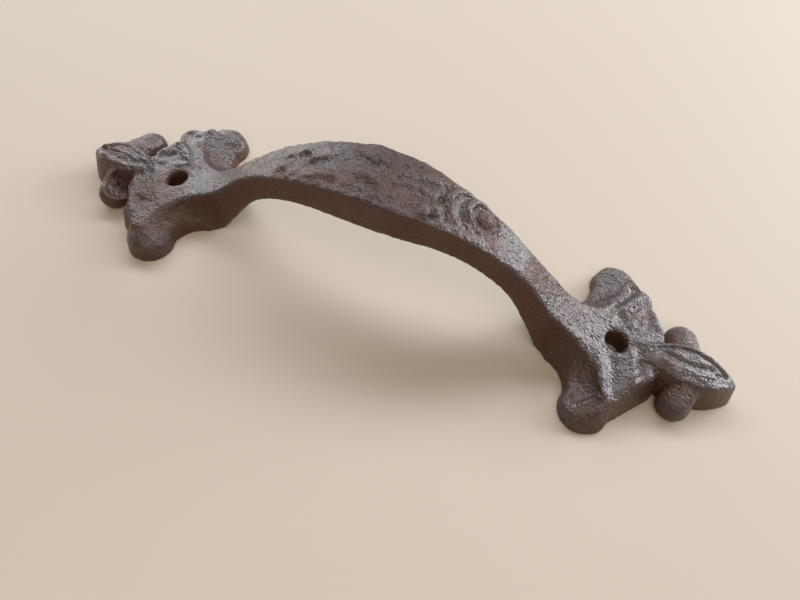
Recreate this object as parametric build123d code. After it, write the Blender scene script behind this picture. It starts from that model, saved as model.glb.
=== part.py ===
from build123d import *
import os
from math import asin, atan2, cos, degrees, radians, sin, sqrt, tan

# A cast-iron drawer pull, poured in one piece: an arched grip that runs down two legs into pierced leaf ends.
# Millimetres and degrees. X runs along the pull and Z up from the flat back, with the origin in its middle.
# A quarter of an end is described with x outwards from the middle and y away from the centre line.

# Whole pull
half_length = 74.6
hole_spacing = 100.0
hole_radius = 2.3
plate_height = 5.4
overlap = 8.0
below_back = -1.0

# Grip, seen from the side: the top runs over one large arc and back out along a hollow one
grip_top = 27.8
top_radius = 47.0
leg_slope = 46.0
span = 24.0
under_height = 21.3
under_flat_radius = 110.0
under_flat_slope = 5.0
under_bend_radius = 26.8
under_leg_slope = 54.0
foot_radius = 4.0
foot_slope = 15.0

# Grip, seen from above, at the level of the back
grip_half_width = 9.5
grip_waist_start = 26.8
waist_radius = 26.0
leg_x = 35.7
grip_draft = 5.0

# Hollow between a leg and its lobe, which turns about a centre beside the leg, from 0 degrees at the leg.
# Its sections are distances from that centre and heights; on one lobe the shallow ones are steeper.
hollow_x = 35.7
hollow_y = 14.0
hollow_mouth = 7.4
hollow_corner = 8.0
hollow_edge = 7.8
hollow_clear = 22.0
hollow_inner = 4.0
leg_wall_heights = (-8.0, -2.0, 5.0, 14.0)
hollow_steep = {
    25: [(4.5, -1.5), (8.0, 0.9), (10.0, 4.5), (11.0, 11.0)],
    50: [(4.0, 2.4), (8.6, 2.6), (11.0, 4.2), (13.2, 8.0)],
}
hollow_shallow = {
    90: [(4.0, 3.2), (9.5, 3.1), (12.4, 3.9), (16.0, 5.4)],
    120: [(4.0, 3.5), (9.5, 3.4), (12.8, 4.0), (16.5, 5.4)],
}
hollow_slanted = {
    90: [(4.0, 0.8), (7.8, 2.9), (10.6, 4.7), (14.0, 6.3)],
    120: [(4.0, 0.6), (7.8, 2.7), (10.8, 4.7), (14.4, 6.3)],
}
slanted = [(-1, -1)]

# Ends
end_draft = {(1, -1): 12.0, (1, 1): 12.0, (-1, -1): 14.0, (-1, 1): 12.0}
wall_draft = {(1, -1): 24.0, (1, 1): 12.0, (-1, -1): 14.0, (-1, 1): 12.0}
end_block_height = 15.0
notch = (59.6, 6.9)
tip_reach = 2.0
lobe_join = (0.3, 0.75, 0.45)
lobe_draft = 10.0
scallop_height = 5.0

# Carving on the hub, by end and side. A flute is the x and y of both ends and the radius of the gouge,
# and a ridge is a stroke like those on the grip.
flute_floors = (5.4, 4.6)
flute_run_in = 2.0
flutes = {
    (1, -1): [((50.0, 3.0), (52.0, 12.6), 4.4)],
    (1, 1): [((47.6, 6.4), (50.9, 15.0), 2.2), ((51.2, 5.6), (55.4, 12.6), 2.2)],
    (-1, -1): [],
    (-1, 1): [((52.0, 7.4), (56.0, 14.6), 3.0)],
}
ridges = {
    (1, -1): [((46.6, 3.6), (48.3, 8.2), (49.7, 12.6), 2.0, 0.35)],
    (1, 1): [((49.0, 5.8), (51.0, 9.6), (53.4, 13.2), 2.0, 0.45)],
    (-1, -1): [],
    (-1, 1): [((49.4, 3.4), (53.3, 7.9), (56.4, 10.2), 2.4, 0.45)],
}
# Carving on top of the grip: a scroll at one end, petals in the middle, leaf lobes at the other.
# A stroke is the x and y of its start, middle and end, its width and its height over the top.
strokes = [
    ((19.0, 5.2), (15.5, 1.9), (18.8, -1.6), 1.5, 0.60),
    ((15.2, 5.4), (11.7, 1.8), (14.4, -2.8), 1.7, 0.60),
    ((7.8, -5.8), (9.1, -3.5), (10.0, -1.2), 2.2, 0.70),
    ((10.4, -4.0), (11.2, -2.0), (11.5, 0.2), 1.3, 0.50),
    ((3.2, 1.6), (6.8, 3.1), (10.4, 4.4), 2.6, 0.55),
    ((-7.6, -1.4), (-3.6, -0.6), (-0.4, -1.9), 2.2, 0.45),
    ((-15.6, 0.5), (-12.6, 1.9), (-9.4, 3.2), 2.4, 0.55),
    ((-14.6, -4.6), (-11.0, -3.2), (-8.0, -2.8), 2.2, 0.60),
    ((-20.8, 1.4), (-17.7, 2.6), (-14.6, 4.2), 2.2, 0.50),
    ((-21.8, -0.2), (-19.3, -1.8), (-17.2, -4.2), 2.0, 0.50),
]
# The eye of the scroll and the round petal are x, y, radius and height
scroll_eye = (18.8, 1.7, 1.5, 0.45)
petal_dome = (-3.6, 5.2, 3.0, 0.6)

# Curls beside the leaf: a rounded tongue from the leaf down to the back, one scooped out towards the grip
curl_root = (0.9, 2.6)
curl_radius = 3.2
curl_pole_slope = 1.5
scoop_root = (-2.0, 3.6, 5.9)
scoop_shift = (-1.7, -0.8, 3.4)
scoop_radius = 3.3

# Leaf at the tip
leaf_draft = 16.0
leaf_start = 56.0
leaf_root_x = 52.0
leaf_half_width = 6.0
leaf_widest_x = 64.0
leaf_nose_radius = 2.6
leaf_top = 7.0
leaf_top_x = 63.5
leaf_bow = 24.0
lens_ends = (57.3, 70.4)
lens_half_width = 1.9
lens_y = 0.9
lens_rise = 0.2
groove_width = 0.7
groove_stretch = 1.6
groove_depth = 0.35

# What differs from end to end and from quarter to quarter, as on a hand-cut pattern.
# The grip side is the radius and the slope of its outline towards each end.
# By end and side, a lobe and a scallop are x, y and radius, and a dome is x, y, radius and height of the
# ball that rounds the top of the lobe. A curl is x and y of its outer end and its heights at root and end.
grip_side = {1: (46.0, 10.5), -1: (90.0, 13.5)}
leaf_tip = {1: 74.6, -1: 73.0}
lobes = {
    (1, -1): (47.9, 14.4, 4.9),
    (1, 1): (47.8, 15.9, 4.7),
    (-1, -1): (47.7, 14.8, 4.9),
    (-1, 1): (48.6, 16.6, 5.4),
}
domes = {
    (1, -1): (46.5, 10.4, 9.8, 5.8),
    (1, 1): (47.8, 15.9, 6.0, 4.6),
    (-1, -1): (47.7, 14.8, 5.6, 5.4),
    (-1, 1): (48.6, 16.6, 7.5, 4.6),
}
scallops = {
    (1, -1): (51.5, 11.5, 3.4),
    (1, 1): (52.6, 11.8, 3.8),
    (-1, -1): (53.3, 11.0, 3.5),
    (-1, 1): (54.6, 13.0, 4.0),
}
curls = {
    (1, -1): (63.5, 6.8, 3.4, 1.7),
    (1, 1): (63.1, 7.9, 3.4, 1.7),
    (-1, -1): (61.7, 7.9, 3.5, 2.5),
    (-1, 1): (63.8, 9.0, 3.4, 1.7),
}
scooped = [(-1, -1)]


def bend(start, radius, slope_in, slope_out):
    """The end of an arc that turns from one downward slope to another; a negative radius bends it back up."""
    run = radius * (sin(radians(slope_out)) - sin(radians(slope_in)))
    rise = radius * (cos(radians(slope_out)) - cos(radians(slope_in)))
    return start[0] + run, start[1] + rise


def bend_arc(start, radius, slope_in, slope_out):
    """That arc itself."""
    middle = bend(start, radius, slope_in, (slope_in + slope_out) / 2)
    return ThreePointArc(start, middle, bend(start, radius, slope_in, slope_out))


def both_ways(edges):
    """The edges of half an outline with their mirror image across the middle of the pull."""
    return [*edges, *[mirror(edge, about=Plane.YZ) for edge in edges]]


def raised(edges, height, draft=0.0):
    """A flat outline raised from the level of the back, narrowing upwards by its draft."""
    solid = extrude(make_face(edges), amount=height, taper=draft)
    points_up = solid.bounding_box().max.Z > height / 2
    return solid if points_up else mirror(solid, about=Plane.XY)


# Radius of the hollow arc that brings the leg down to the plate
leg_top = bend((0, grip_top), top_radius, 0, leg_slope)
leg_radius = (leg_top[1] - plate_height) / (1 - cos(radians(leg_slope)))
plate_start = bend(leg_top, -leg_radius, leg_slope, 0)


def envelope():
    """Everything under the top surface, which runs the whole length of the pull."""
    far, low = (half_length + overlap, plate_height), (half_length + overlap, below_back)
    half = [bend_arc(leg_top, -leg_radius, leg_slope, 0), Line(plate_start, far), Line(far, low)]
    over = ThreePointArc((-leg_top[0], leg_top[1]), (0, grip_top), leg_top)
    face = make_face([*both_ways(half), over, Line((-low[0], low[1]), low)])
    return extrude(Plane.XZ * face, amount=span, both=True)


def top_height(x):
    """Height of the top surface at a distance from the middle."""
    if x < leg_top[0]:
        return grip_top - top_radius + sqrt(top_radius**2 - x**2)
    if x < plate_start[0]:
        return plate_height + leg_radius - sqrt(leg_radius**2 - (plate_start[0] - x) ** 2)
    return plate_height


def seat(x, y):
    """The plane that touches the top of the grip or the hub at a point."""
    on_grip = abs(x) < leg_top[0]
    towards = Vector(x, 0, top_height(abs(x)) - grip_top + top_radius) if on_grip else Vector(0, 0, 1)
    return Plane(origin=(x, y, top_height(abs(x))), x_dir=(towards.Z, 0, -towards.X), z_dir=towards)


def dome(x, y, radius, rise):
    """A ball that stands out of the top as a cap of that radius and height."""
    ball = (radius**2 + rise**2) / (2 * rise)
    return seat(x, y) * Pos(0, 0, rise - ball) * Rot(X=90) * Sphere(ball)


def stroke(start, middle, end, width, rise):
    """A raised stroke of the carving, pointed at both ends and highest in the middle."""
    first, last = Vector(*start), Vector(*end)
    along = (last - first).normalized()
    aside = Vector(-along.Y, along.X) * (width / 2)
    outline = [ThreePointArc(first, Vector(*middle) + sign * aside, last) for sign in (1, -1)]
    tall = 2 * plate_height
    prism = Pos(0, 0, top_height(abs(middle[0])) - plate_height) * raised(outline, tall)
    return prism & dome(*middle, (last - first).length / 2, rise)


def button(x, y, radius, rise):
    """A small round button that stands out of the top of the grip."""
    return seat(x, y) * Cylinder(radius, 2 * rise)


def under_cut():
    """The space under the grip, down to the two leg feet."""
    top = (0, under_height)
    shoulder = bend(top, under_flat_radius, 0, under_flat_slope)
    knee = bend(shoulder, under_bend_radius, under_flat_slope, under_leg_slope)
    toe_rise = foot_radius * (cos(radians(foot_slope)) - cos(radians(under_leg_slope)))
    toe = (knee[0] + (knee[1] - toe_rise) / tan(radians(under_leg_slope)), toe_rise)
    heel = bend(toe, -foot_radius, under_leg_slope, foot_slope)
    foot = (heel[0] - below_back / tan(radians(foot_slope)), below_back)
    half = [
        bend_arc(top, under_flat_radius, 0, under_flat_slope),
        bend_arc(shoulder, under_bend_radius, under_flat_slope, under_leg_slope),
        Line(knee, toe),
        bend_arc(toe, -foot_radius, under_leg_slope, foot_slope),
        Line(heel, foot),
    ]
    face = make_face([*both_ways(half), Line((-foot[0], below_back), foot)])
    return extrude(Plane.XZ * face, amount=span, both=True)


def grip_outline(end):
    """Half the plan of the grip towards one end, and its half width where the leg meets the hollow."""
    radius, slope = grip_side[end]
    middle = (0, grip_half_width)
    flank = bend(middle, radius, 0, slope)
    waist = (grip_waist_start, flank[1] - (grip_waist_start - flank[0]) * tan(radians(slope)))
    slope_out = -degrees(asin((leg_x - waist[0]) / waist_radius - sin(radians(slope))))
    foot = bend(waist, -waist_radius, slope, slope_out)
    past = (leg_x + overlap, foot[1])
    edges = [
        bend_arc(middle, radius, 0, slope),
        Line(flank, waist),
        bend_arc(waist, -waist_radius, slope, slope_out),
        Line(foot, past),
        Line(past, (past[0], 0)),
    ]
    return edges, foot[1]


def grip():
    """The grip and the upper legs: the top within the drafted sides."""
    right, _ = grip_outline(1)
    left, _ = grip_outline(-1)
    side = [*right, *[mirror(edge, about=Plane.YZ) for edge in left]]
    other = [mirror(edge, about=Plane.XZ) for edge in side]
    plan = raised([*side, *other], grip_top + 1, grip_draft)
    between = Box(2 * leg_x, 3 * grip_half_width, 3 * grip_top)
    carving = [stroke(*values) for values in strokes]
    carved = envelope() + carving + button(*scroll_eye) + dome(*petal_dome)
    return plan & between & carved


def from_hollow(turn, radius, height):
    """A point at a radius from the centre of the hollow; turn 0 faces the leg and 90 the lobe."""
    return (hollow_x + radius * sin(radians(turn)), hollow_y - radius * cos(radians(turn)), height)


def hollow_section(turn, points):
    """One upright section of the space over the hollow: its floor and wall, closed high above."""
    out = (sin(radians(turn)), -cos(radians(turn)), 0)
    plane = Plane(origin=(hollow_x, hollow_y, 0), x_dir=out, z_dir=(out[1], -out[0], 0))
    first, last = points[0], points[-1]
    inner = (min(first[0], hollow_inner), hollow_clear)
    outer = (last[0], hollow_clear)
    return plane * make_face([Spline(*points), Line(last, outer), Line(outer, inner), Line(inner, first)])


def hollow(end, side):
    """The smooth hollow that sweeps from the side of a leg round onto its lobe."""
    draft = tan(radians(grip_draft))
    _, half_width = grip_outline(end)
    wall = [(hollow_y - half_width + height * draft, height) for height in leg_wall_heights]
    sections = [hollow_section(0, wall)]
    outer = hollow_slanted if (end, side) in slanted else hollow_shallow
    for turn, points in [*hollow_steep.items(), *outer.items()]:
        sections.append(hollow_section(turn, points))
    return loft(sections)


def boss(x, y, radius, draft, height):
    """A round boss that narrows upwards."""
    narrow = radius - height * tan(radians(draft))
    return Pos(x, y, 0) * Cone(radius, narrow, height, align=(Align.CENTER, Align.CENTER, Align.MIN))


def domed_lobe(lobe, dome):
    """A lobe with a ball-shaped top."""
    x, y, radius, height = dome
    ball = Pos(x, y, height - radius) * Rot(X=90) * Sphere(radius)
    return boss(*lobe, lobe_draft, height) & ball


def rounded_bar(start, end, radius, poles=None):
    """A round bar with ball ends between two points; the poles of the balls lie along the bar or as given."""
    start, end = Vector(*start), Vector(*end)
    middle = Plane(origin=(start + end) / 2, z_dir=end - start) * Cylinder(radius, (end - start).length)
    balls = [Plane(origin=point, z_dir=poles or end - start) * Sphere(radius) for point in (start, end)]
    return middle + balls


def wall_start(lobe):
    """Where the straight wall of an end leaves its lobe."""
    x, y, radius = lobe
    return x + lobe_join[1] * radius, y + lobe_join[2] * radius


def hub_side(lobe):
    """The outline of an end on one side, without its curl and leaf, closed across the centre line."""
    x, y, radius = lobe
    mouth = hollow_y - hollow_mouth
    corner = from_hollow(45, hollow_corner, 0)
    edge = from_hollow(90, hollow_edge, 0)
    lobe_near = (x, y + lobe_join[0] * radius)
    lobe_far = wall_start(lobe)
    return [
        Line((leg_x - overlap, -overlap / 2), (leg_x - overlap, mouth)),
        Line((leg_x - overlap, mouth), (leg_x, mouth)),
        ThreePointArc((leg_x, mouth), corner[:2], edge[:2]),
        Line(edge[:2], lobe_near),
        Line(lobe_near, lobe_far),
        Line(lobe_far, notch),
        Line(notch, (notch[0] + tip_reach, -overlap / 2)),
        Line((notch[0] + tip_reach, -overlap / 2), (leg_x - overlap, -overlap / 2)),
    ]


def inside_wall(lobe, draft):
    """Everything on the inner side of that wall, which slants by its draft."""
    start, end = Vector(*wall_start(lobe)), Vector(*notch)
    along = (end - start).normalized() * half_length
    inwards = Vector(along.Y, -along.X)
    corners = [start - along, end + along, end + along + inwards, start - along + inwards]
    return raised([Line(corners[at - 1], corners[at]) for at in range(4)], end_block_height, draft)


def end_block(end):
    """An end as flat drafted shapes: the hub, its two lobes and the scallops beside them."""
    block = []
    for side in (-1, 1):
        lobe, draft = lobes[end, side], wall_draft[end, side]
        half = raised(hub_side(lobe), end_block_height, end_draft[end, side]) & inside_wall(lobe, draft)
        shapes = [half, domed_lobe(lobe, domes[end, side]), boss(*scallops[end, side], draft, scallop_height)]
        block = block + (shapes if side > 0 else [mirror(shape, about=Plane.XZ) for shape in shapes])
    block = block[0] + block[1:]
    beyond_leg = Pos(leg_x + half_length, 0, 0) * Box(2 * half_length, half_length, half_length)
    return block & beyond_leg


def curl(x, y, root_height, height):
    """A curled leaflet beside the tip: a rounded tongue from the leaf down to the back."""
    root, tip = (x + curl_root[0], curl_root[1], root_height), (x, y, height)
    run = Vector(*tip) - Vector(*root)
    poles = Vector(run.X, run.Y, -curl_pole_slope * run.length)
    return rounded_bar(root, tip, curl_radius, poles)


def scoop(x, y, _, height):
    """What is scooped out of a curl from the side of the grip."""
    root_x, root_y, root_height = scoop_root
    shift_x, shift_y, shift_height = scoop_shift
    end = (x + shift_x, y + shift_y, height + shift_height)
    return rounded_bar((x + root_x, root_y, root_height), end, scoop_radius)


def flute(inner, outer, radius):
    """A gouge stroke that starts at the surface of the hub and deepens outwards."""
    start = Vector(*inner, flute_floors[0] + radius)
    end = Vector(*outer, flute_floors[1] + radius)
    start = start - (end - start).normalized() * flute_run_in
    return Plane(origin=(start + end) / 2, z_dir=end - start) * Cylinder(radius, (end - start).length)


def leaf_body(rise):
    """Everything under the domed top of the leaf, raised or lowered."""
    return Pos(leaf_top_x, 0, leaf_top - leaf_bow) * Rot(X=90) * Sphere(leaf_bow + rise)


def lens_prism(margin):
    """The almond outline on the leaf as an upright prism, widened by a margin."""
    start, end = lens_ends[0] - groove_stretch * margin, lens_ends[1] + groove_stretch * margin
    middle, side = (start + end) / 2, lens_half_width + margin
    first, last = (start, lens_y), (end, lens_y)
    arcs = [ThreePointArc(first, (middle, lens_y + sign * side), last) for sign in (1, -1)]
    return raised(arcs, 2 * leaf_top)


def leaf(end):
    """The pointed leaf at the tip, with its almond lens between two grooves."""
    tip = leaf_tip[end]
    nose = Vector(tip - leaf_nose_radius, 0)
    run = nose.X - leaf_widest_x
    slim = leaf_half_width - leaf_nose_radius
    radius = (run**2 + leaf_half_width**2 - leaf_nose_radius**2) / (2 * slim)
    centre = Vector(leaf_widest_x, leaf_half_width - radius)
    towards = (nose - centre).normalized()
    shoulder = centre + towards * radius
    root = Vector(leaf_start, centre.Y + sqrt(radius**2 - (leaf_widest_x - leaf_start) ** 2))
    widest = Vector(leaf_widest_x, leaf_half_width)
    half_way = nose + Vector(1, tan(atan2(towards.Y, towards.X) / 2)).normalized() * leaf_nose_radius
    half = [
        Line((leaf_root_x, 0), (leaf_root_x, root.Y)),
        Line((leaf_root_x, root.Y), root),
        ThreePointArc(root, widest, shoulder),
        ThreePointArc(shoulder, half_way, (tip, 0)),
    ]
    other = [mirror(edge, about=Plane.XZ) for edge in half]
    block = raised([*half, *other], leaf_top + overlap / 2, leaf_draft)
    inner, outer = lens_prism(0), lens_prism(groove_width)
    ring = outer - inner
    groove = ring - leaf_body(-groove_depth)
    rim = block & leaf_body(0)
    return rim - groove + (block & inner & leaf_body(lens_rise))


def end_of_pull(end):
    """One end, pointing along +X: a block with its hollows, carving, curls, leaf and screw hole."""
    solid = end_block(end) & envelope()
    for side in (-1, 1):
        cuts = [hollow(end, side), *[flute(*values) for values in flutes[end, side]]]
        added = [stroke(*values) for values in ridges[end, side]]
        tongue = curl(*curls[end, side])
        if (end, side) in scooped:
            tongue = tongue - scoop(*curls[end, side])
        added.append(tongue)
        if side < 0:
            cuts = [mirror(piece, about=Plane.XZ) for piece in cuts]
            added = [mirror(piece, about=Plane.XZ) for piece in added]
        solid = solid - cuts + added
    solid = solid + leaf(end)
    return solid - Pos(hole_spacing / 2, 0, 0) * Cylinder(hole_radius, 4 * plate_height)


def pull():
    """The whole casting."""
    body = grip()
    body = body + end_of_pull(1) + mirror(end_of_pull(-1), about=Plane.YZ)
    above = Pos(0, 0, half_length) * Box(4 * half_length, 2 * half_length, 2 * half_length)
    return (body - under_cut()) & above


if __name__ == "__main__":
    os.makedirs("parts", exist_ok=True)
    export_step(pull(), "parts/cast_pull.step")
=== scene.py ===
"""The looks of a cast-iron drawer pull: its sand-cast skin, its waxed brown finish, and a pale stage."""

from math import cos, radians, sin

import bpy
import numpy as np
from mathutils import Matrix, Vector


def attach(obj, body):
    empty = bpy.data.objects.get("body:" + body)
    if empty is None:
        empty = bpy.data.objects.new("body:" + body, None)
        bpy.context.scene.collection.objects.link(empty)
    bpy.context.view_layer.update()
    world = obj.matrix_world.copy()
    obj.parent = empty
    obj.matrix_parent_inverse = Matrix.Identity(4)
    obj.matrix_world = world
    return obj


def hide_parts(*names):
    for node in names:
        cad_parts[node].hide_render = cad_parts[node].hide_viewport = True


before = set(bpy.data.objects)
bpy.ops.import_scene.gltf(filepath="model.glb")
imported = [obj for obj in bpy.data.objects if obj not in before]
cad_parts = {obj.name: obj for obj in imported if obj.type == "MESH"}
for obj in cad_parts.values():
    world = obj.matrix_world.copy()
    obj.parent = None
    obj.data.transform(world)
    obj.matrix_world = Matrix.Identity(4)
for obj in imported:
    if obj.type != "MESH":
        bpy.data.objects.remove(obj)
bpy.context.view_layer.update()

bl_info = {
    "name": "Cast Drawer Pull",
    "version": (1, 0, 0),
    "blender": (4, 5, 0),
    "location": "3D View > Sidebar > Drawer Pull",
    "description": "Gives a cast-iron drawer pull its sand-cast skin and waxed finish",
    "category": "Object",
}

MILLIMETRE = 0.001

# Worn carving, as touches of half width, height and the points of a line across the top, in millimetres.
# A single point makes a round lump or pit, and a height below zero a groove.
# The grip: a scroll with its grooves, lumps and petals in the middle, and a small ring with leaf lobes.
GRIP_TOUCHES = (
    (0.45, -0.26, ((18.8, 3.9), (17.2, 3.3), (16.5, 1.7), (17.2, 0.1), (18.8, -0.5), (20.4, 0.1), (21.1, 1.7),
                   (20.4, 3.3), (18.8, 3.9))),
    (0.50, 0.20, ((18.6, 4.9), (16.4, 4.0), (15.5, 1.7), (16.3, -0.4), (18.4, -1.5), (20.8, -0.8),
                  (22.0, 1.2))),
    (0.45, -0.24, ((16.6, 5.4), (14.4, 3.8), (13.7, 1.6), (14.4, -0.8), (16.4, -2.8))),
    (0.50, 0.22, ((14.6, 5.0), (12.5, 3.4), (12.0, 1.2), (12.9, -1.2), (14.4, -2.8))),
    (0.50, -0.24, ((12.6, 5.2), (10.7, 3.0), (10.3, 0.6), (11.6, -1.2), (12.6, -3.4))),
    (0.60, 0.24, ((18.8, 1.7),)),
    (0.90, 0.38, ((0.0, -4.8),)),
    (0.45, -0.16, ((0.6, -0.6), (0.0, 0.0), (-0.6, -0.6), (0.0, -1.2), (0.6, -0.6))),
    (0.70, 0.35, ((4.4, 0.2), (6.3, 0.6), (8.6, 0.2))),
    (0.80, 0.36, ((2.7, 4.4),)),
    (0.80, 0.34, ((4.9, 5.6),)),
    (0.60, -0.22, ((-8.7, 1.1),)),
    (0.55, -0.21, ((-7.6, -1.7),)),
    (0.60, -0.21, ((1.9, -1.4), (3.2, -0.9))),
    (0.60, -0.22, ((10.2, 0.4),)),
    (0.60, -0.21, ((2.0, 0.9),)),
    (0.55, -0.21, ((-7.8, 4.2), (-6.2, 2.6), (-3.2, 1.9), (-0.6, 2.6))),
    (0.80, 0.26, ((-20.4, -2.6), (-18.8, -1.6))),
    (0.80, 0.30, ((-17.4, -4.4), (-16.0, -2.6))),
    (0.70, 0.28, ((-15.2, -5.0), (-14.0, -3.4))),
    (0.55, -0.17, ((-21.6, 0.4), (-17.2, -0.6), (-12.6, -0.8), (-9.2, -0.2))),
    (0.50, -0.15, ((-12.4, 4.8), (-11.6, 3.6))),
    (0.70, 0.30, ((-6.2, -4.4), (-3.4, -4.0))),
    (0.70, 0.26, ((5.4, -4.2), (6.6, -3.2))),
    (0.60, -0.17, ((5.2, -2.0), (7.2, -1.8))),
    (0.80, 0.24, ((-9.6, 5.0),)),
    (0.70, 0.24, ((-0.2, 5.6),)),
    (0.60, -0.19, ((-2.4, -2.8), (-0.4, -3.2))),
    (0.60, -0.17, ((-9.8, -5.0), (-8.4, -4.2))),
    (0.45, 0.28, ((-14.5, 0.6), (-15.4, 2.1), (-17.0, 2.2), (-18.0, 0.8), (-17.3, -0.8), (-15.6, -1.0),
                  (-14.5, 0.6))),
    (0.80, 0.30, ((-10.8, -5.2),)),
    (0.60, 0.26, ((-13.4, -1.8),)),
    (0.45, 0.28, ((-5.2, 2.1), (-2.2, 0.3), (-1.2, 3.4))),
    (0.70, 0.26, ((-2.3, -6.0),)),
    (0.70, 0.28, ((2.4, -3.4),)),
    (0.55, 0.30, ((8.0, -2.2), (9.2, -4.8))),
    (0.55, 0.30, ((9.9, -1.0), (11.0, -3.4))),
    (0.45, -0.22, ((9.0, -1.8), (10.2, -4.4))),
)
# The longer end, which lies at positive x.
RIGHT_TOUCHES = (
    (0.90, 0.24, ((46.8, -4.2), (48.2, -6.8), (49.0, -9.4), (49.7, -12.4))),
    (0.90, 0.26, ((53.1, -1.6), (53.8, -4.3), (54.5, -7.5))),
    (1.00, 0.34, ((54.6, -7.8),)),
    (0.80, 0.36, ((57.2, -1.4), (56.8, -5.2))),
    (0.80, 0.34, ((49.8, -12.6), (51.3, -10.8), (53.8, -8.6), (55.3, -6.6), (57.3, -5.4))),
    (1.10, -0.18, ((50.6, -4.6), (51.2, -9.6))),
    (0.90, -0.22, ((55.3, -1.2), (55.4, -4.6))),
    (0.65, 0.28, ((42.8, -18.0), (43.9, -16.8), (46.7, -15.1), (49.6, -12.4))),
    (1.60, -0.12, ((43.7, -14.6), (46.7, -12.4))),
    (0.75, 0.34, ((46.5, 8.7), (48.9, 11.7), (50.2, 15.2))),
    (0.60, -0.26, ((48.4, 8.6), (50.6, 11.4), (52.0, 14.2))),
    (0.75, 0.40, ((52.0, 4.8), (52.9, 8.2), (54.6, 11.5))),
    (1.00, -0.40, ((50.0, 5.5),)),
    (0.80, 0.34, ((54.2, 13.2), (56.0, 10.2), (57.0, 6.8))),
    (0.70, -0.24, ((55.2, 5.4), (56.0, 8.4))),
    (0.80, 0.28, ((53.6, 1.4), (56.4, 1.8), (58.3, -1.0), (61.2, -2.6))),
    (0.50, -0.45, ((57.0, 0.9), (60.2, 2.5), (63.9, 3.15), (67.6, 2.5), (70.6, 0.9))),
    (0.50, 0.16, ((57.6, 0.5), (60.2, -0.7), (63.9, -1.35), (67.6, -0.7), (70.2, 0.5))),
    (0.50, -0.48, ((58.6, 0.9), (61.4, -0.1), (64.6, -0.4), (67.8, 0.4))),
    (0.55, 0.25, ((58.4, -0.6), (61.4, -1.5), (64.8, -1.8), (68.2, -0.9))),
)
# The shorter end.
LEFT_TOUCHES = (
    (0.90, -0.46, ((-57.4, 4.5), (-55.4, 5.8))),
    (0.80, -0.40, ((-56.6, -0.6),)),
    (0.70, -0.38, ((-53.3, -8.6),)),
    (0.60, -0.24, ((-55.0, -8.0), (-51.4, -8.4))),
    (0.90, -0.40, ((-53.3, 13.4),)),
    (0.60, -0.30, ((-51.8, 15.5), (-50.0, 12.3), (-47.6, 9.1), (-45.5, 7.5))),
    (0.80, 0.26, ((-57.0, 9.3), (-55.6, 9.6), (-53.5, 8.4), (-50.1, 5.7))),
    (0.90, 0.34, ((-55.7, -9.1), (-52.8, -12.0))),
    (0.60, 0.28, ((-51.9, 3.6), (-49.9, 4.9), (-51.3, 6.2))),
    (1.40, 0.30, ((-51.4, -5.4),)),
    (0.80, 0.26, ((-58.8, -2.2), (-57.6, -5.2))),
    (0.70, -0.24, ((-58.6, 1.6), (-55.2, 2.4))),
    (0.55, 0.40, ((-57.6, 0.6), (-59.6, 2.2), (-63.4, 3.0), (-66.6, 2.4), (-69.4, 0.8))),
    (0.55, 0.36, ((-58.2, -1.0), (-61.0, -2.4), (-64.6, -2.6), (-67.8, -1.2))),
    (1.00, -0.20, ((-59.8, 0.1), (-63.0, 0.4), (-66.8, 0.3))),
    (0.45, 0.22, ((-60.2, 0.2), (-63.2, 0.6), (-66.4, 0.5))),
)

# The heights above the back from which faces take the worn carving and the sand.
LOWEST_CARVING = 3 * MILLIMETRE
LOWEST_SAND = 0.4 * MILLIMETRE
# How far round its line a touch is worked out, in millimetres.
TOUCH_REACH = 3
# How many steps a full weight has.
WEIGHT_STEPS = 20

# How far the edges are worn at distances along the pull from its middle, in millimetres.
WEAR_ALONG = ((0, 0.30), (23, 0.30), (27, 1), (42, 1), (46, 0.60), (55, 0.60), (58, 0.15))
# The step beside the first ridge of the longer end, which wear has rounded off.
WORN_STEP = ((47.0, -6.5), (49.6, -11.6))

# The lamps: name, place and size in metres, watts and colour. The first three stand behind the pull, where
# its upper faces mirror them to the camera, and the last is the warm light of the room over its front.
DAYLIGHT = (0.88, 0.92, 1.0)
LAMPS = (
    ("window_lamp", (-0.14, 0.60, 0.66), (1.7, 0.24), 8.2, DAYLIGHT),
    ("left_lamp", (-0.72, 0.52, 0.14), (0.6, 0.22), 1.7, DAYLIGHT),
    ("right_lamp", (0.63, 0.57, 0.31), (0.6, 0.30), 6.5, DAYLIGHT),
    ("room_lamp", (0.15, -0.45, 0.80), (0.9, 0.9), 3.4, (1.0, 0.90, 0.78)),
)
LAMP_TARGET = (0, 0, 0.01)
ROOM_COLOUR = (1.0, 0.93, 0.85, 1)
ROOM_STRENGTH = 0.2
FLOOR_WIDTH = 3
SENSOR_WIDTH = 36


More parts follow.
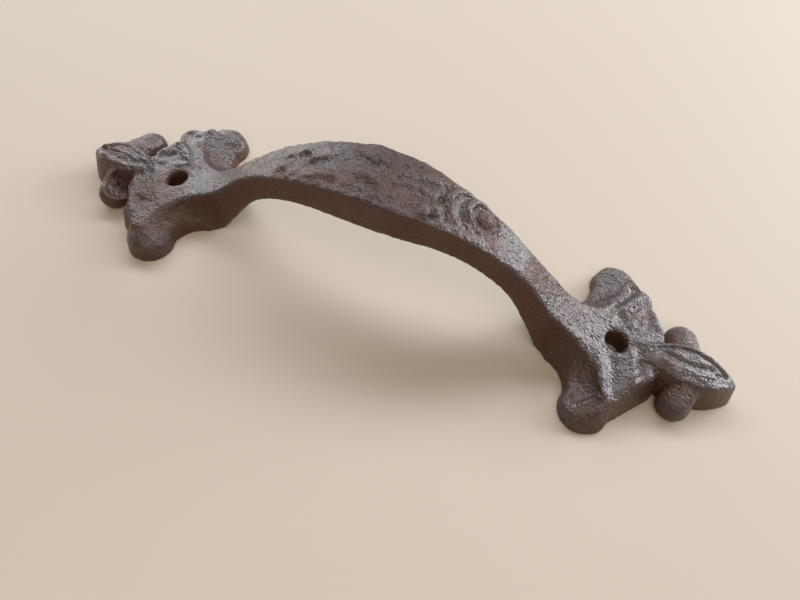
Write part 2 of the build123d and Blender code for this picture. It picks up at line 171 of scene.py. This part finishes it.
class CastingSettings(bpy.types.PropertyGroup):
    """Sizes of the skin that the sand mould leaves."""

    cell: bpy.props.FloatProperty(
        name="Cell", description="Size of the cells in which the casting is laid out",
        default=0.21 * MILLIMETRE, precision=5, unit="LENGTH")
    soften_steps: bpy.props.IntProperty(
        name="Soften Steps", description="How often all edges are eased", default=20)
    worn_steps: bpy.props.IntProperty(
        name="Worn Steps", description="How often the worn edges are eased further", default=70)
    carving_strength: bpy.props.FloatProperty(
        name="Carving Strength", description="How strongly the worn lines of carving stand out", default=1.0)
    grain_depth: bpy.props.FloatProperty(
        name="Grain Depth", description="Height of the sand grains on the upper faces",
        default=0.20 * MILLIMETRE, precision=5, unit="LENGTH")
    grain_size: bpy.props.FloatProperty(
        name="Grain Size", description="Width of the sand grains",
        default=0.55 * MILLIMETRE, precision=5, unit="LENGTH")
    crust_depth: bpy.props.FloatProperty(
        name="Crust Depth", description="Height of the crust of burnt sand between grain and swell",
        default=0.16 * MILLIMETRE, precision=5, unit="LENGTH")
    crust_size: bpy.props.FloatProperty(
        name="Crust Size", description="Width of the lumps of that crust",
        default=1.2 * MILLIMETRE, precision=5, unit="LENGTH")
    swell_depth: bpy.props.FloatProperty(
        name="Swell Depth", description="Height of the slow unevenness of the pattern",
        default=0.30 * MILLIMETRE, precision=5, unit="LENGTH")
    swell_size: bpy.props.FloatProperty(
        name="Swell Size", description="Width of that unevenness",
        default=2.6 * MILLIMETRE, precision=5, unit="LENGTH")
    side_share: bpy.props.FloatProperty(
        name="Side Share", description="How much of the grain the drafted sides keep",
        default=0.35, subtype="FACTOR", min=0, max=1)
    # The hollows this finds are darkened as painted shade, not rusted, and the raised edges take the grey of
    # wear, partly as a painted highlight.
    relief_rounds: bpy.props.IntProperty(
        name="Relief Rounds", description="How wide the hollows and edges are that take rust or wear",
        default=14)
    most_triangles: bpy.props.IntProperty(
        name="Most Triangles", description="What the finished casting may hold", default=190000)


class FinishSettings(bpy.types.PropertyGroup):
    """Colours and sheen of the waxed iron."""

    # The sides' warmer brown and the upper faces' darker brown are partly the real sand skin and partly
    # painted light: the sides' warmth stands in for warm light bounced onto them.
    iron: bpy.props.FloatVectorProperty(
        name="Iron", description="Brown of the smooth sides", subtype="COLOR", size=4,
        default=(0.106, 0.041, 0.018, 1))
    sand_face: bpy.props.FloatVectorProperty(
        name="Sand Face", description="Darker brown of the grainy upper faces", subtype="COLOR", size=4,
        default=(0.048, 0.021, 0.013, 1))
    rust: bpy.props.FloatVectorProperty(
        name="Rust", description="Reddish brown in the hollows", subtype="COLOR", size=4,
        default=(0.104, 0.038, 0.016, 1))
    # Partly real rubbed wear and partly a painted highlight: this grey stands in for the sky's reflection on
    # raised upper faces.
    worn: bpy.props.FloatVectorProperty(
        name="Worn", description="Grey of the rubbed grains and edges", subtype="COLOR", size=4,
        default=(0.070, 0.050, 0.050, 1))
    sheen: bpy.props.FloatProperty(
        name="Sheen", description="Roughness of the iron itself",
        default=0.30, subtype="FACTOR", min=0, max=1)
    coat: bpy.props.FloatProperty(
        name="Coat", description="How much wax the upper faces carry",
        default=1.0, subtype="FACTOR", min=0, max=1)


class StageSettings(bpy.types.PropertyGroup):
    """The camera's place and the floor's colour."""

    azimuth: bpy.props.FloatProperty(
        name="Azimuth", description="Turn of the camera about the upright axis",
        default=radians(16.92), subtype="ANGLE")
    elevation: bpy.props.FloatProperty(
        name="Elevation", description="Height of the camera above the floor, as an angle",
        default=radians(57.42), subtype="ANGLE")
    roll: bpy.props.FloatProperty(
        name="Roll", description="Tilt of the camera", default=radians(6.56), subtype="ANGLE")
    reach: bpy.props.FloatProperty(
        name="Reach", description="Distance from the camera to what it aims at",
        default=115.78 * MILLIMETRE, precision=5, unit="LENGTH")
    aim: bpy.props.FloatVectorProperty(
        name="Aim", description="Point on the floor that the camera looks at",
        default=(6.84 * MILLIMETRE, -5.645 * MILLIMETRE, 0), precision=5, subtype="TRANSLATION")
    lens: bpy.props.FloatProperty(
        name="Lens", description="Focal length in millimetres on a 36 mm sensor", default=24.75)
    floor: bpy.props.FloatVectorProperty(
        name="Floor", description="Colour of the floor", subtype="COLOR", size=4,
        default=(0.60, 0.52, 0.42, 1))


def feed(tree, target, source):
    """Links an input to the source, or sets it where the source is a value."""
    if isinstance(source, bpy.types.NodeSocket):
        tree.links.new(source, target)
    else:
        target.default_value = source


def add_node(tree, kind, place, **values):
    """A node at a place in the tree. Values name its settings, or its sockets with underscores for spaces."""
    node = tree.nodes.new(kind)
    node.location = place
    for name, value in values.items():
        if hasattr(node, name):
            setattr(node, name, value)
        else:
            feed(tree, node.inputs[name.replace("_", " ")], value)
    return node


def add_ramp(tree, place, source, stops):
    """The result of a ramp of greys, whose stops are position and level."""
    ramp = add_node(tree, "ShaderNodeValToRGB", place, Fac=source)
    elements = ramp.color_ramp.elements
    for element, (position, level) in zip(elements, stops, strict=True):
        element.position = position
        element.color = (level, level, level, 1)
    return ramp.outputs["Color"]


def add_math(tree, place, operation, *sources, **values):
    """The result of a calculation with the sources, fed in order."""
    node = add_node(tree, "ShaderNodeMath", place, operation=operation, **values)
    for socket, source in zip(node.inputs, sources):
        feed(tree, socket, source)
    return node.outputs["Value"]


def add_mix(tree, place, factor, first, second, blend="MIX"):
    """The result of a mix of two colours."""
    mix = add_node(
        tree, "ShaderNodeMix", place, data_type="RGBA", blend_type=blend, Factor=factor, A=first, B=second)
    return mix.outputs["Result"]


def add_value(tree, place, name):
    """The value that the piece's vertices hold under the name."""
    return add_node(tree, "ShaderNodeAttribute", place, attribute_name=name).outputs["Fac"]


def skin_colour_and_painted_light(tree, settings, rust, clouds):
    """Brown, darker on sand faces and warmer on the sides in part as painted bounce light, rusty in patches,
    grey on rubbed grains and edges in part as a painted highlight, and darkened in the depths as painted
    shade.
    """
    wear_highlight_and_shade = add_value(tree, (-1100, 600), "Cavity")
    face = add_value(tree, (-1100, 1100), "SandFace")
    # Partly painted bounce light: the sides take a warmer brown than the upper faces.
    plain = add_mix(tree, (-700, -50), face, settings.iron, settings.sand_face)
    rusty = add_mix(tree, (-550, 150), rust, plain, settings.rust)
    # Grey where the relief stands out, in patches: partly real rubbing and partly a painted highlight of the
    # sky's reflection.
    exposed = add_ramp(tree, (-850, 600), wear_highlight_and_shade, [(0.56, 0), (0.78, 1)])
    rubbed = add_ramp(tree, (-850, 350), clouds, [(0.40, 0.15), (0.62, 1)])
    wear_and_highlight_mask = add_math(tree, (-550, 500), "MULTIPLY", exposed, rubbed)
    skin = add_mix(tree, (-300, 200), wear_and_highlight_mask, rusty, settings.worn)
    # Painted shade: the colour is darkened where the relief value is low, in the hollows.
    painted_shade = add_ramp(tree, (-850, 850), wear_highlight_and_shade, [(0.18, 0.45), (0.42, 1)])
    return add_mix(tree, (-50, 200), 1, skin, painted_shade, blend="MULTIPLY")


def wax_amount(tree, settings, patches):
    """Wax on the sand faces, less where it is rubbed off in patches."""
    coat = add_ramp(tree, (-850, 1100), add_value(tree, (-1100, 1350), "Wax"), [(0, 0), (1, settings.coat)])
    kept = add_ramp(tree, (-850, 1350), patches, [(0.44, 1), (0.64, 0.35)])
    return add_math(tree, (-550, 1100), "MULTIPLY", coat, kept)


def waxed_iron(settings):
    """Brown sand-cast iron under a thin wax. The scales of its textures are cells to the metre."""
    material = bpy.data.materials.new("waxed_cast_iron")
    material.use_nodes = True
    tree = material.node_tree
    tree.nodes.clear()
    place = add_node(tree, "ShaderNodeTexCoord", (-1400, 0)).outputs["Object"]
    sand = add_node(
        tree, "ShaderNodeTexNoise", (-1100, -200), Vector=place, Scale=2600, Detail=4, Roughness=0.65)
    specks = add_node(tree, "ShaderNodeTexVoronoi", (-1100, -450), Vector=place, Scale=1900)
    patches, clouds = (
        add_node(tree, "ShaderNodeTexNoise", (-1100, row), Vector=place, Scale=scale, Detail=detail,
                 Roughness=0.6).outputs["Fac"]
        for row, scale, detail in ((100, 110, 6), (350, 380, 5)))

    rust = add_ramp(tree, (-850, 100), patches, [(0.42, 0), (0.66, 1)])
    gloss = add_ramp(tree, (-300, -100), clouds, [
        (0.34, min(1, settings.sheen + 0.12)), (0.66, settings.sheen - 0.08)])
    shader = add_node(
        tree, "ShaderNodeBsdfPrincipled", (600, 0), Metallic=0, IOR=1.5,
        Base_Color=skin_colour_and_painted_light(tree, settings, rust, clouds),
        Roughness=add_math(tree, (50, -100), "MULTIPLY_ADD", rust, 0.25, gloss, use_clamp=True),
        Coat_Weight=wax_amount(tree, settings, patches), Coat_Roughness=0.11)
    height = add_math(
        tree, (-550, -300), "MULTIPLY_ADD", specks.outputs["Distance"], -0.9, sand.outputs["Fac"])
    for socket, row, strength in (("Normal", -300, 1.0), ("Coat Normal", -550, 0.32)):
        bump = add_node(
            tree, "ShaderNodeBump", (300, row), Strength=strength, Distance=0.3 * MILLIMETRE, Height=height)
        feed(tree, shader.inputs[socket], bump.outputs["Normal"])
    add_node(tree, "ShaderNodeOutputMaterial", (900, 0), Surface=shader.outputs["BSDF"])
    return material


def make_active(piece):
    """Makes the piece the one that operators work on."""
    bpy.ops.object.select_all(action="DESELECT")
    piece.select_set(True)
    bpy.context.view_layer.objects.active = piece


def apply_modifier(piece, kind, name, **values):
    """Adds a modifier with its settings and applies it."""
    modifier = piece.modifiers.new(name, kind)
    for key, value in values.items():
        setattr(modifier, key, value)
    bpy.ops.object.modifier_apply(modifier=modifier.name)


def vertex_values(mesh, name):
    """The places or normals of all vertices, a row each."""
    values = np.empty(3 * len(mesh.vertices))
    mesh.vertices.foreach_get(name, values)
    return values.reshape(-1, 3)


def weight_group(piece, name, weights):
    """A vertex group with the weights, rounded to steps."""
    group = piece.vertex_groups.new(name=name)
    steps = np.round(weights * WEIGHT_STEPS).astype(int)
    for step in np.unique(steps):
        group.add(np.flatnonzero(steps == step).tolist(), step / WEIGHT_STEPS, "REPLACE")
    return group.name


def facing_up(mesh, start, span):
    """How far each place faces up: none until its normal rises past the start, and all beyond the span."""
    return np.clip((vertex_values(mesh, "normal")[:, 2] - start) / span, 0, 1)


def sand_face(mesh, side_share):
    """Where the mesh took the sand: all of the top, a share of the sides and none of the back."""
    height = vertex_values(mesh, "co")[:, 2]
    return (side_share + (1 - side_share) * facing_up(mesh, 0.15, 0.5)) * (height > LOWEST_SAND)


def worn_edges(mesh):
    """How far each place is worn: most on the legs, less on the carving and least on the lobes."""
    places = vertex_values(mesh, "co") / MILLIMETRE
    along, across, height = np.abs(places).T
    worn = np.interp(along, *zip(*WEAR_ALONG))
    shorter_leaf = (places[:, 0] < -58) * (across < 4.4) * 0.9
    grip_flank = np.clip(across - 6.2, 0, 1) * (along < 27) * 0.6
    lobes = np.clip((across - 10) / 2, 0, 1) * 0.7
    worn = np.maximum(np.maximum(worn, shorter_leaf), grip_flank) * (1 - lobes)
    worn = worn * np.clip((height - 1) / 2, 0, 1)
    step = np.clip(2.4 - distance_to_line(places[:, :2], WORN_STEP), 0, 1) * (height > 1.5)
    return np.maximum(worn, step)


def held(mesh):
    """How far hands have rubbed the wax off: most on the middle of the grip."""
    along, _, height = (vertex_values(mesh, "co") / MILLIMETRE).T
    return np.exp(-(along / 12) ** 2) * (height > 12)


def relief(mesh, rounds):
    """How far each vertex stands out of the mesh round it, in millimetres."""
    places = vertex_values(mesh, "co") / MILLIMETRE
    ends = np.empty(2 * len(mesh.edges), dtype=int)
    mesh.edges.foreach_get("vertices", ends)
    first, second = ends.reshape(-1, 2).T
    count = len(places)
    shares = np.bincount(first, minlength=count) + np.bincount(second, minlength=count)
    even = places.copy()
    for _ in range(rounds):
        even = np.stack([
            (np.bincount(first, weights=column[second], minlength=count)
             + np.bincount(second, weights=column[first], minlength=count)) / shares
            for column in even.T], axis=1)
    return np.sum((places - even) * vertex_values(mesh, "normal"), axis=1)


def distance_to_line(places, points):
    """How far each place lies from a line through the points, seen from above."""
    points = np.array(points)
    if len(points) == 1:
        return np.linalg.norm(places - points[0], axis=1)
    nearest = np.full(len(places), np.inf)
    for start, end in zip(points[:-1], points[1:]):
        run = end - start
        share = np.clip((places - start) @ run / (run @ run), 0, 1)
        nearest = np.minimum(nearest, np.linalg.norm(places - start - share[:, None] * run, axis=1))
    return nearest


def carve(piece, touches, strength):
    """Moves the upward faces of the piece up or down along worn lines of carving."""
    mesh = piece.data
    places = vertex_values(mesh, "co")
    normals = vertex_values(mesh, "normal")
    upward = facing_up(mesh, 0.35, 0.3) * (places[:, 2] > LOWEST_CARVING)
    flat = places[:, :2] / MILLIMETRE
    rise = np.zeros(len(places))
    for half_width, height, points in touches:
        points = np.array(points)
        near = np.all((flat > points.min(axis=0) - TOUCH_REACH)
                      & (flat < points.max(axis=0) + TOUCH_REACH), axis=1)
        reach = distance_to_line(flat[near], points) / half_width
        rise[near] += height * np.exp(-reach * reach)
    places += normals * (rise * upward * strength * MILLIMETRE)[:, None]
    places[:, 2] = np.maximum(places[:, 2], 0)
    mesh.vertices.foreach_set("co", places.ravel())
    mesh.update()


def store_value(mesh, name, values):
    """Keeps a value for each vertex, which the material reads by its name."""
    mesh.attributes.new(name, "FLOAT", "POINT").data.foreach_set("value", values)


def solid_copy(solid):
    """A copy of the solid, with its facets joined at their edges."""
    piece = bpy.data.objects.new("iron_casting", solid.data.copy())
    bpy.context.scene.collection.objects.link(piece)
    make_active(piece)
    piece.data.materials.clear()
    bpy.ops.object.mode_set(mode="EDIT")
    bpy.ops.mesh.select_all(action="SELECT")
    bpy.ops.mesh.remove_doubles(threshold=0.001 * MILLIMETRE)
    bpy.ops.object.mode_set(mode="OBJECT")
    return piece


def ease_edges(piece, sizes):
    """Lays the piece out in even cells and rounds its edges, more where it is worn."""
    apply_modifier(piece, "REMESH", "cells", mode="VOXEL", voxel_size=sizes.cell, adaptivity=0)
    apply_modifier(piece, "SMOOTH", "eased_edges", factor=0.5, iterations=sizes.soften_steps)
    group = weight_group(piece, "worn_edges", worn_edges(piece.data))
    apply_modifier(piece, "SMOOTH", "worn_edges", factor=0.5, iterations=sizes.worn_steps, vertex_group=group)
    piece.vertex_groups.clear()


def add_sand(piece, sizes):
    """Raises the swell, crust and grain that the sand mould leaves."""
    group = weight_group(piece, "sand_face", sand_face(piece.data, sizes.side_share))
    for name, size, detail, depth in (
        ("pattern_swell", sizes.swell_size, 2, sizes.swell_depth),
        ("burnt_crust", sizes.crust_size, 1, sizes.crust_depth),
        ("sand_grain", sizes.grain_size, 3, sizes.grain_depth),
    ):
        texture = bpy.data.textures.new(name, "CLOUDS")
        texture.noise_scale = size
        texture.noise_depth = detail
        apply_modifier(piece, "DISPLACE", name, texture=texture, texture_coords="LOCAL", strength=depth,
                       mid_level=0.5, vertex_group=group)
    piece.vertex_groups.clear()


class DRAWERPULL_OT_casting(bpy.types.Operator):
    """Make the casting: the solid's own form with eased edges and a sand-cast skin"""

    bl_idname = "drawer_pull.casting"
    bl_label = "Make Casting"

    def execute(self, context):
        sizes = context.scene.pull_casting
        piece = solid_copy(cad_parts["cast_pull"])
        ease_edges(piece, sizes)
        carve(piece, GRIP_TOUCHES + RIGHT_TOUCHES + LEFT_TOUCHES, sizes.carving_strength)
        add_sand(piece, sizes)
        mesh = piece.data
        triangles = sum(len(face.vertices) - 2 for face in mesh.polygons)
        if not triangles:
            raise RuntimeError("the casting has no faces")
        if triangles > sizes.most_triangles:
            apply_modifier(piece, "DECIMATE", "fewer_faces", ratio=sizes.most_triangles / triangles)
        sanded = sand_face(mesh, 0)
        # Cavity: how far each place stands out; the material darkens the hollows with it as painted shade and
        # greys the raised edges, partly as a painted highlight.
        store_value(mesh, "Cavity", np.clip(0.5 + 2 * relief(mesh, sizes.relief_rounds), 0, 1))
        # SandFace also splits the brown between upper faces and sides, partly as painted bounce light.
        store_value(mesh, "SandFace", sanded)
        store_value(mesh, "Wax", sanded * (1 - 0.75 * held(mesh)))
        bpy.ops.object.shade_smooth()
        mesh.materials.append(waxed_iron(context.scene.pull_finish))
        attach(piece, "root")
        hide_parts("cast_pull")
        return {"FINISHED"}


def add_floor(colour):
    """The wide, pale and matt floor that the pull lies on."""
    bpy.ops.object.select_all(action="DESELECT")
    bpy.ops.mesh.primitive_plane_add(size=FLOOR_WIDTH)
    floor = bpy.context.object
    floor.name = "floor"
    paint = bpy.data.materials.new("pale_floor")
    paint.use_nodes = True
    shader = paint.node_tree.nodes["Principled BSDF"]
    shader.inputs["Base Color"].default_value = colour
    shader.inputs["Roughness"].default_value = 0.7
    floor.data.materials.append(paint)


def add_light(scene):
    """The soft light of the room and the lamps, which all point at the pull."""
    world = bpy.data.worlds.new("soft_room")
    world.use_nodes = True
    background = world.node_tree.nodes["Background"]
    background.inputs["Color"].default_value = ROOM_COLOUR
    background.inputs["Strength"].default_value = ROOM_STRENGTH
    scene.world = world
    for name, place, size, watts, colour in LAMPS:
        lamp = bpy.data.objects.new(name, bpy.data.lights.new(name, "AREA"))
        lamp.data.shape = "RECTANGLE"
        lamp.data.size, lamp.data.size_y = size
        lamp.data.energy = watts
        lamp.data.color = colour
        lamp.location = place
        lamp.rotation_euler = (Vector(LAMP_TARGET) - Vector(place)).to_track_quat("-Z", "Y").to_euler()
        scene.collection.objects.link(lamp)


def add_camera(scene, values):
    """The camera, turned to its aim from the azimuth and elevation at the reach."""
    camera = bpy.data.objects.new("camera", bpy.data.cameras.new("camera"))
    back = Vector((sin(values.azimuth) * cos(values.elevation), -cos(values.azimuth) * cos(values.elevation),
                   sin(values.elevation)))
    turn = (Matrix.Rotation(values.azimuth, 4, "Z") @ Matrix.Rotation(radians(90) - values.elevation, 4, "X")
            @ Matrix.Rotation(values.roll, 4, "Z"))
    camera.matrix_world = Matrix.Translation(Vector(values.aim) + back * values.reach) @ turn
    camera.data.sensor_width = SENSOR_WIDTH
    camera.data.lens = values.lens
    camera.data.clip_start = 5 * MILLIMETRE
    scene.collection.objects.link(camera)
    scene.camera = camera


class DRAWERPULL_OT_stage(bpy.types.Operator):
    """Make the stage: a pale floor, soft lamps and the camera"""

    bl_idname = "drawer_pull.stage"
    bl_label = "Make Stage"

    def execute(self, context):
        scene = context.scene
        add_floor(scene.pull_stage.floor)
        add_light(scene)
        add_camera(scene, scene.pull_stage)
        scene.view_settings.view_transform = "Standard"
        return {"FINISHED"}


class DRAWERPULL_PT_panel(bpy.types.Panel):
    """Lists what the pull is made from"""

    bl_idname = "DRAWERPULL_PT_panel"
    bl_label = "Drawer Pull"
    bl_space_type = "VIEW_3D"
    bl_region_type = "UI"
    bl_category = "Drawer Pull"

    def draw(self, context):
        for operator, group in (
            (DRAWERPULL_OT_casting, context.scene.pull_casting),
            (None, context.scene.pull_finish),
            (DRAWERPULL_OT_stage, context.scene.pull_stage),
        ):
            column = self.layout.column(align=True)
            for name in group.__annotations__:
                column.prop(group, name)
            if operator:
                self.layout.operator(operator.bl_idname)


CLASSES = (
    CastingSettings,
    FinishSettings,
    StageSettings,
    DRAWERPULL_OT_casting,
    DRAWERPULL_OT_stage,
    DRAWERPULL_PT_panel,
)


def register():
    for item in CLASSES:
        bpy.utils.register_class(item)
    bpy.types.Scene.pull_casting = bpy.props.PointerProperty(type=CastingSettings)
    bpy.types.Scene.pull_finish = bpy.props.PointerProperty(type=FinishSettings)
    bpy.types.Scene.pull_stage = bpy.props.PointerProperty(type=StageSettings)


def unregister():
    del bpy.types.Scene.pull_stage
    del bpy.types.Scene.pull_finish
    del bpy.types.Scene.pull_casting
    for item in reversed(CLASSES):
        bpy.utils.unregister_class(item)


def main():
    """Makes the casting and the stage."""
    register()
    bpy.ops.drawer_pull.casting()
    bpy.ops.drawer_pull.stage()


if __name__ == "__main__":
    main()
